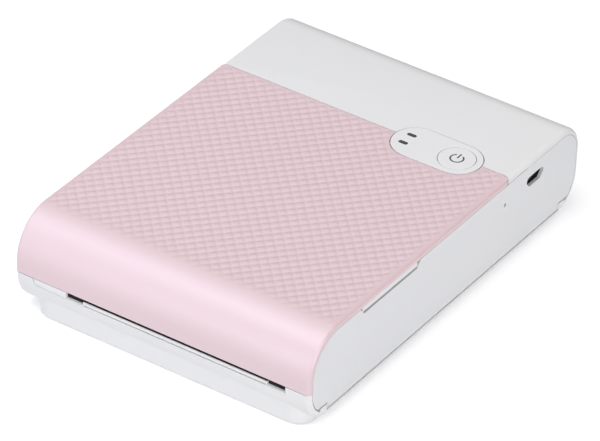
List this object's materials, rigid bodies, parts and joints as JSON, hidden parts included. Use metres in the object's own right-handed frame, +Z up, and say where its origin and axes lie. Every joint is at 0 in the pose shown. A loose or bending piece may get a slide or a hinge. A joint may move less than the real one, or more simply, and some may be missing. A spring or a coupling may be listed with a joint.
{
  "type": "compact photo printer",
  "caption": "Flat rounded photo printer with a wrapped coloured top cover, a front paper slot, a round power button and a hinged cassette door along its right side.",
  "frame": {"origin": "on the table under the middle of the case's width and depth", "axes": "+X to the right seen from the front, +Y to the rear along the depth, +Z up"},
  "size_m": [0.1022, 0.1432, 0.0312],
  "materials": {
    "case_white": "fine satin moulded ABS",
    "cover_pearl": "pearlescent, embossed with small raised tiles",
    "foot_rubber": "matt",
    "roller_rubber": "ground",
    "plated_screw": "zinc plated",
    "ground_steel": "ground",
    "sheet_steel": "galvanised sheet",
    "lens_dark": "smoked",
    "part_black": "moulded",
    "part_grey": "moulded",
    "board_green": "solder mask over copper",
    "cell_sleeve": "shrink sleeve",
    "gear_acetal": "moulded acetal",
    "pinion_brass": "hobbed",
    "head_ceramic": "glazed substrate",
    "sink_aluminium": "extruded",
    "cassette_grey": "moulded",
    "grip_grey": "moulded",
    "spool_white": "moulded",
    "dye_yellow": "dye film",
    "dye_magenta": "dye film",
    "dye_used": "used dye film",
    "print_paper": "receiver sheet"
  },
  "bodies": {
    "case": {"bottom_case": "case_white", "top_cover": "cover_pearl", "rear_cover": "case_white", "front_insert": "case_white", "left_side_panel": "case_white", "door_hinge_pins": "ground_steel", "rubber_feet": "foot_rubber", "case_screws": "plated_screw", "control_plate": "case_white", "light_guides": "lens_dark", "power_switch": "part_black", "main_board": "board_green", "usb_socket": "sheet_steel", "reset_switch": "part_black", "battery_pack": "cell_sleeve", "left_chassis_plate": "part_grey", "right_chassis_plate": "case_white", "lower_paper_guide": "part_black", "upper_paper_guide": "part_black", "drive_motor": "sheet_steel", "idler_stud": "ground_steel", "head_pivot": "ground_steel", "cassette_case": "cassette_grey", "cassette_grip": "grip_grey", "ribbon_web": "dye_magenta", "paper_stack": "print_paper", "lift_spring": "sheet_steel"},
    "door": {"cassette_door": "case_white"},
    "power_button": {"power_button": "case_white"},
    "reset_button": {"reset_button": "case_white"},
    "feed": {"feed_roller": "ground_steel", "feed_gear": "gear_acetal"},
    "pickup": {"pickup_shaft": "ground_steel", "pickup_tyre": "roller_rubber", "pickup_gear": "gear_acetal"},
    "pinion": {"motor_pinion": "pinion_brass"},
    "idler": {"idler_gear": "gear_acetal"},
    "takeup": {"takeup_gear": "gear_acetal", "takeup_spindle": "part_black", "takeup_spool": "spool_white", "takeup_roll": "dye_used"},
    "supply": {"supply_spindle": "part_black", "supply_spool": "spool_white", "supply_roll": "dye_yellow"},
    "platen": {"platen_shaft": "ground_steel", "platen_rubber": "roller_rubber"},
    "pinch": {"pinch_roller": "roller_rubber"},
    "head_arm": {"head_bracket": "sheet_steel", "heat_sink": "sink_aluminium", "print_head": "head_ceramic"},
    "lift_plate": {"lift_plate": "sheet_steel"}
  },
  "joints": [
    {"name": "door_hinge", "type": "hinge", "parent": "case", "child": "door", "pos_m": [0.05, 0, 0.00445], "axis": [0, 1, 0], "range_deg": [0, 90]},
    {"name": "power_press", "type": "slide", "parent": "case", "child": "power_button", "axis": [0, 0, -1], "range_m": [0, 0.0004], "stiffness_N_per_m": 1500, "springref_m": -0.0006},
    {"name": "reset_press", "type": "slide", "parent": "case", "child": "reset_button", "axis": [-1, 0, 0], "range_m": [0, 0.0004], "stiffness_N_per_m": 1500, "springref_m": -0.0006},
    {"name": "feed_turn", "type": "hinge", "parent": "case", "child": "feed", "pos_m": [0, -0.03045, 0.00995], "axis": [1, 0, 0], "continuous": true},
    {"name": "pickup_turn", "type": "hinge", "parent": "case", "child": "pickup", "pos_m": [0, -0.01702, 0.01555], "axis": [1, 0, 0], "continuous": true},
    {"name": "pinion_turn", "type": "hinge", "parent": "case", "child": "pinion", "pos_m": [0, -0.00773, 0.02055], "axis": [1, 0, 0], "continuous": true},
    {"name": "idler_turn", "type": "hinge", "parent": "case", "child": "idler", "pos_m": [0, -0.04609, 0.01791], "axis": [1, 0, 0], "continuous": true},
    {"name": "takeup_turn", "type": "hinge", "parent": "case", "child": "takeup", "pos_m": [0, -0.06155, 0.0196], "axis": [1, 0, 0], "continuous": true},
    {"name": "supply_turn", "type": "hinge", "parent": "case", "child": "supply", "pos_m": [0, -0.04055, 0.0196], "axis": [1, 0, 0], "continuous": true},
    {"name": "platen_turn", "type": "hinge", "parent": "case", "child": "platen", "pos_m": [0, -0.05155, 0.0076], "axis": [1, 0, 0], "continuous": true},
    {"name": "pinch_turn", "type": "hinge", "parent": "case", "child": "pinch", "pos_m": [0, -0.03045, 0.01525], "axis": [1, 0, 0], "continuous": true},
    {"name": "head_press", "type": "hinge", "parent": "case", "child": "head_arm", "pos_m": [0, -0.01282, 0.0266], "axis": [1, 0, 0], "range_deg": [0, 2.2], "stiffness_Nm_per_rad": 0.6, "springref_deg": -2.86},
    {"name": "lift_press", "type": "hinge", "parent": "case", "child": "lift_plate", "pos_m": [0, 0.03315, 0.0045], "axis": [1, 0, 0], "range_deg": [0, 0.7], "stiffness_Nm_per_rad": 0.5, "springref_deg": -3.44, "deforming": ["lift_spring"]}
  ],
  "couplings": [
    {"joint": "pickup_turn", "follows": "feed_turn", "ratio": -0.93333},
    {"joint": "pinion_turn", "follows": "feed_turn", "ratio": 2.3333},
    {"joint": "idler_turn", "follows": "feed_turn", "ratio": -0.66667},
    {"joint": "takeup_turn", "follows": "feed_turn", "ratio": 1.4},
    {"joint": "supply_turn", "follows": "feed_turn", "ratio": 0.93333},
    {"joint": "platen_turn", "follows": "feed_turn", "ratio": 0.54167},
    {"joint": "pinch_turn", "follows": "feed_turn", "ratio": -1.0833}
  ]
}
